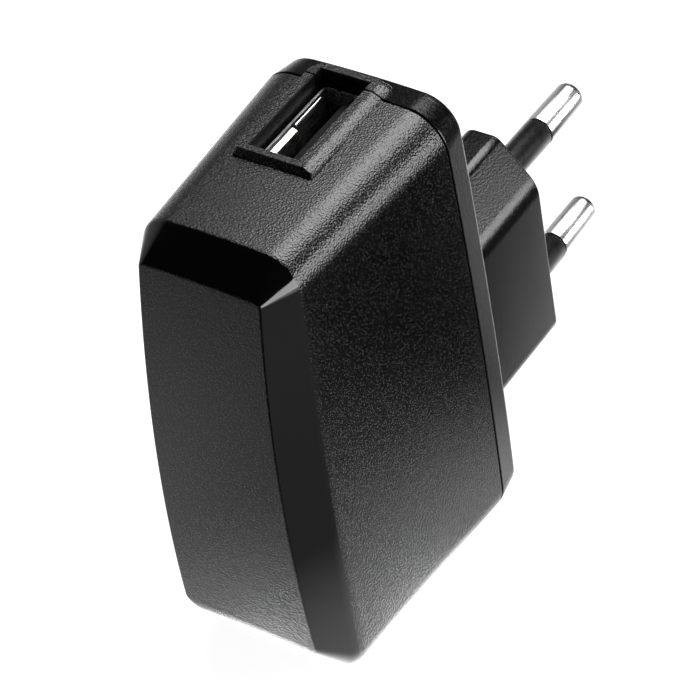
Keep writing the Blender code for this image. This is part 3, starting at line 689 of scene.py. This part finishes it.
class Shader:
    """A Principled material with short helpers for its nodes."""

    def __init__(self, name):
        self.material = bpy.data.materials.new(name)
        self.material.use_nodes = True
        self.tree = self.material.node_tree
        self.main = self.tree.nodes["Principled BSDF"]

    def put(self, socket, value):
        target = self.main.inputs[socket]
        if isinstance(value, bpy.types.NodeSocket):
            self.tree.links.new(value, target)
        else:
            target.default_value = value

    def node(self, kind, **inputs):
        made = self.tree.nodes.new(kind)
        for name, value in inputs.items():
            socket = made.inputs[name.replace("_", " ")]
            if isinstance(value, bpy.types.NodeSocket):
                self.tree.links.new(value, socket)
            else:
                socket.default_value = value
        return made

    def place(self, stretch=(1, 1, 1)):
        """Object coordinates, stretched."""
        coordinates = self.tree.nodes.new("ShaderNodeTexCoord").outputs["Object"]
        return self.node("ShaderNodeMapping", Vector=coordinates, Scale=stretch).outputs[0]

    def noise(self, scale, detail=2.0, roughness=0.5, stretch=(1, 1, 1)):
        vector = self.place(stretch)
        made = self.node("ShaderNodeTexNoise", Vector=vector, Scale=scale, Detail=detail, Roughness=roughness)
        return made.outputs["Fac"]

    def cells(self, scale):
        """Distance to the nearest of many scattered points, for small round bumps."""
        return self.node("ShaderNodeTexVoronoi", Vector=self.place(), Scale=scale).outputs["Distance"]

    def span(self, value, low, high, from_low=0.0, from_high=1.0):
        made = self.tree.nodes.new("ShaderNodeMapRange")
        self.tree.links.new(value, made.inputs["Value"])
        limits = {"From Min": from_low, "From Max": from_high, "To Min": low, "To Max": high}
        for name, number in limits.items():
            made.inputs[name].default_value = number
        return made.outputs[0]

    def mix(self, factor, first, second):
        made = self.tree.nodes.new("ShaderNodeMix")
        made.data_type = "RGBA"
        self.tree.links.new(factor, made.inputs["Factor"])
        made.inputs["A"].default_value = (*first, 1)
        made.inputs["B"].default_value = (*second, 1)
        return made.outputs["Result"]

    def bump(self, height, distance, strength=1.0, under=None):
        made = self.node("ShaderNodeBump", Height=height, Distance=distance, Strength=strength)
        if under:
            self.tree.links.new(under, made.inputs["Normal"])
        return made.outputs["Normal"]


def grained_plastic(name, depth, painted_glint):
    """Spark-eroded matt plastic: fine round grain whose tips are glossier and carry painted glints, a paler
    base colour that stands in for sparkling highlights.
    """
    look = Shader(name)
    pebbles = look.cells(GRAIN_SCALE)
    # Painted glints: the base colour turns paler on each grain tip and stands in for highlights.
    painted_glints = look.span(pebbles, 1.0, 0.0, 0.10, 0.30)
    look.put("Base Color", look.mix(painted_glints, (0.0002, 0.0002, 0.0002), (painted_glint, painted_glint, painted_glint)))
    look.put("Roughness", look.span(pebbles, 0.08, 0.26, 0.15, 0.6))
    normal = look.bump(look.noise(1.5 * GRAIN_SCALE, 1.0, 0.5), 0.5 * depth)
    look.put("Normal", look.bump(pebbles, depth, 1.0, normal))
    return look.material


def well_plastic():
    """The unpolished black walls inside the port."""
    look = Shader("well_black")
    look.put("Base Color", look.mix(look.noise(400, 2.0), (0.002, 0.002, 0.002), (0.004, 0.004, 0.004)))
    look.put("Roughness", look.span(look.noise(1500, 3.0), 0.3, 0.42, 0.3, 0.7))
    look.put("Normal", look.bump(look.noise(2500, 2.0), 0.01 * MM))
    look.put("Specular IOR Level", 0.2)
    return look.material


def polished_plastic():
    look = Shader("polished_black")
    look.put("Base Color", look.mix(look.noise(90, 2.0), (0.0008, 0.0008, 0.0009), (0.0016, 0.0016, 0.0016)))
    look.put("Roughness", look.span(look.noise(260, 4.0), 0.06, 0.12, 0.35, 0.65))
    look.put("Normal", look.bump(look.noise(180, 1.0), 0.02 * MM))
    return look.material


def nickel():
    look = Shader("nickel")
    drawn = look.noise(2600, 4.0, 0.6, (1.0, 0.06, 1.0))
    look.put("Base Color", look.mix(drawn, (0.70, 0.70, 0.69), (0.90, 0.90, 0.89)))
    look.put("Metallic", 1.0)
    look.put("Roughness", look.span(drawn, 0.18, 0.34, 0.3, 0.7))
    look.put("Normal", look.bump(drawn, 0.012 * MM))
    return look.material


def sleeve_plastic():
    look = Shader("sleeve_black")
    look.put("Base Color", look.mix(look.noise(300, 2.0), (0.004, 0.004, 0.004), (0.009, 0.009, 0.009)))
    look.put("Roughness", look.span(look.noise(900, 3.0), 0.24, 0.34, 0.3, 0.7))
    look.put("Normal", look.bump(look.noise(1400, 2.0, 0.5, (1, 0.3, 1)), 0.008 * MM))
    return look.material


def port_steel():
    look = Shader("port_steel")
    drawn = look.noise(3000, 3.0, 0.6, (1.0, 0.15, 1.0))
    look.put("Base Color", look.mix(drawn, (0.50, 0.50, 0.51), (0.74, 0.74, 0.74)))
    look.put("Metallic", 1.0)
    look.put("Roughness", look.span(drawn, 0.22, 0.38, 0.3, 0.7))
    look.put("Normal", look.bump(drawn, 0.006 * MM))
    return look.material


def plain_look(name, low, high, roughness, metallic=0.0, scale=900, height=0.02, specular=0.5):
    """A procedural finish for a small or hidden part: mottled colour, gloss and relief."""
    look = Shader(name)
    mottled = look.noise(scale, 3.0, 0.55)
    look.put("Base Color", look.mix(mottled, low, high))
    look.put("Metallic", metallic)
    look.put("Roughness", look.span(look.noise(scale * 0.6, 2.0), roughness * 0.8, roughness * 1.2, 0.3, 0.7))
    look.put("Normal", look.bump(look.noise(scale * 1.7, 2.0), height * MM))
    look.put("Specular IOR Level", specular)
    return look.material


# ---------------------------------------------------------------- stage


def add_camera():
    azimuth, elevation, roll = (math.radians(a) for a in (AIM_AZIMUTH, AIM_ELEVATION, AIM_ROLL))
    back = Vector((
        math.sin(azimuth) * math.cos(elevation),
        -math.cos(azimuth) * math.cos(elevation),
        math.sin(elevation),
    ))
    level = Vector((math.cos(azimuth), math.sin(azimuth), 0))
    upright = back.cross(level)
    up = upright * math.cos(roll) + level * math.sin(roll)
    right = level * math.cos(roll) - upright * math.sin(roll)
    lens = bpy.data.cameras.new("camera")
    lens.lens = LENS
    lens.sensor_width = 36
    lens.clip_start = 0.01
    lens.clip_end = 20
    camera = bpy.data.objects.new("camera", lens)
    turn = Matrix((right, up, back)).transposed()
    camera.matrix_world = Matrix.Translation(AIM_POINT + back * AIM_DISTANCE) @ turn.to_4x4()
    bpy.context.scene.collection.objects.link(camera)
    bpy.context.scene.camera = camera


def direction_of(azimuth, elevation):
    """A unit vector, with azimuth counted from +X towards +Y, in degrees."""
    azimuth, elevation = math.radians(azimuth), math.radians(elevation)
    level = math.cos(elevation)
    return Vector((level * math.cos(azimuth), level * math.sin(azimuth), math.sin(elevation)))


def add_light(name, azimuth, elevation, size, radiance, distance=0.6):
    """A rectangular softbox seen from the object in the given direction. Its radiance is even."""
    direction = direction_of(azimuth, elevation)
    data = bpy.data.lights.new(name, "AREA")
    data.shape = "RECTANGLE"
    data.size, data.size_y = size
    data.energy = radiance * math.pi * size[0] * size[1]
    light = bpy.data.objects.new(name, data)
    side = Vector((0, 0, 1)).cross(direction).normalized()
    turn = Matrix((side, direction.cross(side), direction)).transposed()
    light.matrix_world = Matrix.Translation(STAGE_CENTRE + direction * distance) @ turn.to_4x4()
    bpy.context.scene.collection.objects.link(light)


class Glow:
    """Short helpers for the arithmetic of a stage material's or the world's brightness."""

    def __init__(self, tree):
        self.tree = tree
        tree.nodes.clear()

    def node(self, kind, *values):
        made = self.tree.nodes.new(kind)
        for socket, value in zip(made.inputs, values):
            if isinstance(value, bpy.types.NodeSocket):
                self.tree.links.new(value, socket)
            elif value is not None:
                socket.default_value = value
        return made

    def sum(self, operation, first, second=None):
        made = self.node("ShaderNodeMath", first, second)
        made.operation = operation
        return made.outputs[0]

    def vector(self, operation, first, second=None):
        made = self.node("ShaderNodeVectorMath", first, second)
        made.operation = operation
        return made

    def ramp(self, value, start, end, low, high):
        made = self.node("ShaderNodeMapRange", value, start, end, low, high)
        made.interpolation_type = "SMOOTHSTEP"
        return made.outputs[0]

    def camera_sees(self, seen, felt):
        """One shader for the camera's own rays and another for light and reflections."""
        path = self.tree.nodes.new("ShaderNodeLightPath")
        return self.node("ShaderNodeMixShader", path.outputs["Is Camera Ray"], felt, seen).outputs[0]


def add_world():
    """White behind the object, and a dark studio with one pale corner in its reflections."""
    world = bpy.data.worlds.new("studio")
    bpy.context.scene.world = world
    world.use_nodes = True
    glow = Glow(world.node_tree)
    direction = glow.node("ShaderNodeTexCoord").outputs["Generated"]
    pale_corner = glow.vector("DOT_PRODUCT", direction, tuple(direction_of(*PALE_CORNER))).outputs["Value"]
    level = glow.sum("ADD", glow.ramp(pale_corner, 0.55, 0.9, 0.0, PALE_CORNER_GLOW), STUDIO_GLOW)
    felt = glow.node("ShaderNodeBackground", None, level).outputs[0]
    seen = glow.node("ShaderNodeBackground", (1, 1, 1, 1), 1.0).outputs[0]
    glow.node("ShaderNodeOutputWorld", glow.camera_sees(seen, felt))


def floor_white():
    """A white table, evenly bright to the camera. To reflections and bounced light it glows in painted pools
    of light whose brightness depends on the distance and side of the charger.
    """
    look = bpy.data.materials.new("floor_white")
    look.use_nodes = True
    glow = Glow(look.node_tree)
    position = glow.node("ShaderNodeNewGeometry").outputs["Position"]
    offset = glow.vector("SUBTRACT", position, (STAGE_CENTRE.x, STAGE_CENTRE.y, SEAM_OUTLINE["bottom"]))
    reach = glow.vector("LENGTH", offset.outputs[0]).outputs["Value"]
    unit = glow.vector("NORMALIZE", offset.outputs[0]).outputs[0]
    pool = glow.vector("ADD", offset.outputs[0], (0.0, FLOOR_POOL_SHIFT, 0.0)).outputs[0]
    squeezed = glow.vector("MULTIPLY", pool, (1.0, FLOOR_STRETCH, 1.0))
    close = glow.vector("LENGTH", squeezed.outputs[0]).outputs["Value"]
    near = glow.sum("ADD", glow.ramp(close, *FLOOR_UNDER), glow.ramp(close, *FLOOR_NEAR))
    left_way = glow.node("ShaderNodeSeparateXYZ", unit).outputs["X"]
    left_share = glow.ramp(left_way, *FLOOR_LEFT_SHARE)
    left = glow.sum("MULTIPLY", left_share, glow.ramp(reach, *FLOOR_LEFT))
    back_way = glow.vector("DOT_PRODUCT", unit, tuple(direction_of(FLOOR_BACK_WAY, 0))).outputs["Value"]
    back_share = glow.ramp(back_way, *FLOOR_BACK_SHARE)
    back = glow.sum("MULTIPLY", back_share, glow.ramp(reach, *FLOOR_BACK))
    right_way = glow.vector("DOT_PRODUCT", unit, tuple(direction_of(FLOOR_RIGHT_WAY, 0))).outputs["Value"]
    right_share = glow.ramp(right_way, *FLOOR_RIGHT_SHARE)
    right = glow.sum("MULTIPLY", right_share, glow.ramp(reach, *FLOOR_RIGHT))
    far_right = glow.sum("MULTIPLY", right_share, glow.ramp(reach, *FLOOR_FAR_RIGHT))
    level = glow.sum("MAXIMUM", glow.sum("MAXIMUM", left, back), glow.sum("MAXIMUM", right, far_right))
    level = glow.sum("ADD", glow.sum("MAXIMUM", near, level), STUDIO_GLOW)
    # Painted light: the floor glows with these pools in reflections and bounced light, though it is no lamp.
    felt = glow.node("ShaderNodeEmission", None, level).outputs[0]
    matte = glow.node("ShaderNodeBsdfDiffuse", (FLOOR_ALBEDO, FLOOR_ALBEDO, FLOOR_ALBEDO, 1.0)).outputs[0]
    bright = glow.node("ShaderNodeEmission", None, FLOOR_GLOW).outputs[0]
    seen = glow.node("ShaderNodeAddShader", bright, matte).outputs[0]
    glow.node("ShaderNodeOutputMaterial", glow.camera_sees(seen, felt))
    return look


def add_floor():
    """A pale floor along the charger's flat bottom."""
    slope = (SEAM_OUTLINE["bottom"] - RIM_OUTLINE["bottom"]) / (RIM_DEPTHS[0] - SEAM_HALF_GAP)
    half = 1.5
    under = 0.02 * MM
    form = bmesh.new()
    corners = []
    for x, y in ((-half, -half), (half, -half), (half, half), (-half, half)):
        corners.append(form.verts.new((x, SEAM_Y + y, SEAM_OUTLINE["bottom"] - under + slope * y)))
    form.faces.new(corners)
    floor = add_piece("floor", form, [floor_white()])


def add_lights():
    add_light("overhead_box", 80, 57, (0.24, 0.17), 6.2, 0.3)
    add_light("overhead_fill", 104, 63, (0.28, 0.20), 2.4, 0.32)
    add_light("side_strip", 4, 9, (1.0, 0.29), 7.6)


# ---------------------------------------------------------------- build


def main():
    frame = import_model()
    nodes = frame["nodes"]

    grained = grained_plastic("grained_black", GRAIN_DEPTH, GRAIN_PAINTED_GLINT)
    satin = grained_plastic("satin_black", SATIN_DEPTH, SATIN_PAINTED_GLINT)
    well = well_plastic()
    polished = polished_plastic()
    steel = port_steel()
    black_insulator = plain_look("insulator_black", (0.010, 0.010, 0.011), (0.018, 0.018, 0.018), 0.4)
    dark, paler = (0.002, 0.002, 0.002), (0.004, 0.004, 0.004)
    tongue_black = plain_look("tongue_black", dark, paler, 0.5, specular=0.12)
    gold = plain_look("contact_gold", (0.46, 0.41, 0.32), (0.64, 0.58, 0.47), 0.25, 1.0, 2500, 0.006)

    finishes = [grained, polished, satin, well]
    housing = make_housing(finishes)
    cover = make_cover(finishes)
    shell = make_shell(steel)
    tongue = make_tongue(tongue_black)
    made = [
        (housing, "front_housing", "casing_plastic"),
        (cover, "rear_cover", "casing_plastic"),
        (shell, "usb_shell", "shell_steel"),
        (tongue, "usb_tongue", "tongue_plastic"),
    ]
    for piece, node in make_pins(nickel(), sleeve_plastic()):
        made.append((piece, node, "sleeve_plastic" if "sleeve" in node else "pin_nickel"))
    for piece, node, slot in made:
        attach(piece, "charger")
        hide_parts(node)

    looks = {
        "main_board": plain_look("board_laminate", (0.36, 0.22, 0.08), (0.45, 0.29, 0.12), 0.55),
        "transformer_core": plain_look("ferrite", (0.035, 0.035, 0.037), (0.075, 0.074, 0.07), 0.7),
        "transformer_bobbin": black_insulator,
        "transformer_winding": plain_look("winding_tape", (0.70, 0.46, 0.05), (0.82, 0.58, 0.10), 0.35),
        "input_capacitor": plain_look("capacitor_film", (0.010, 0.014, 0.06), (0.02, 0.03, 0.11), 0.3),
        "output_capacitor": plain_look("capacitor_film_2", (0.010, 0.05, 0.02), (0.02, 0.09, 0.04), 0.3),
        "y_capacitor": plain_look("disc_dip", (0.03, 0.16, 0.42), (0.06, 0.24, 0.56), 0.4),
        "fusible_resistor": plain_look("resistor_lacquer", (0.25, 0.35, 0.27), (0.36, 0.46, 0.36), 0.5),
        "output_diode": black_insulator,
        "bridge_rectifier": black_insulator,
        "control_chip": black_insulator,
        "optocoupler": plain_look("opto_epoxy", (0.60, 0.60, 0.57), (0.75, 0.75, 0.72), 0.5),
        "line_lead": plain_look("lead_pvc", (0.32, 0.012, 0.012), (0.45, 0.025, 0.02), 0.4),
        "usb_contact": gold,
    }
    for name, node in nodes.items():
        for start, look in looks.items():
            if name.startswith(start):
                node.data.materials.clear()
                node.data.materials.append(look)

    add_camera()
    add_world()
    add_floor()
    add_lights()
    bpy.context.scene.view_settings.view_transform = "Standard"


main()
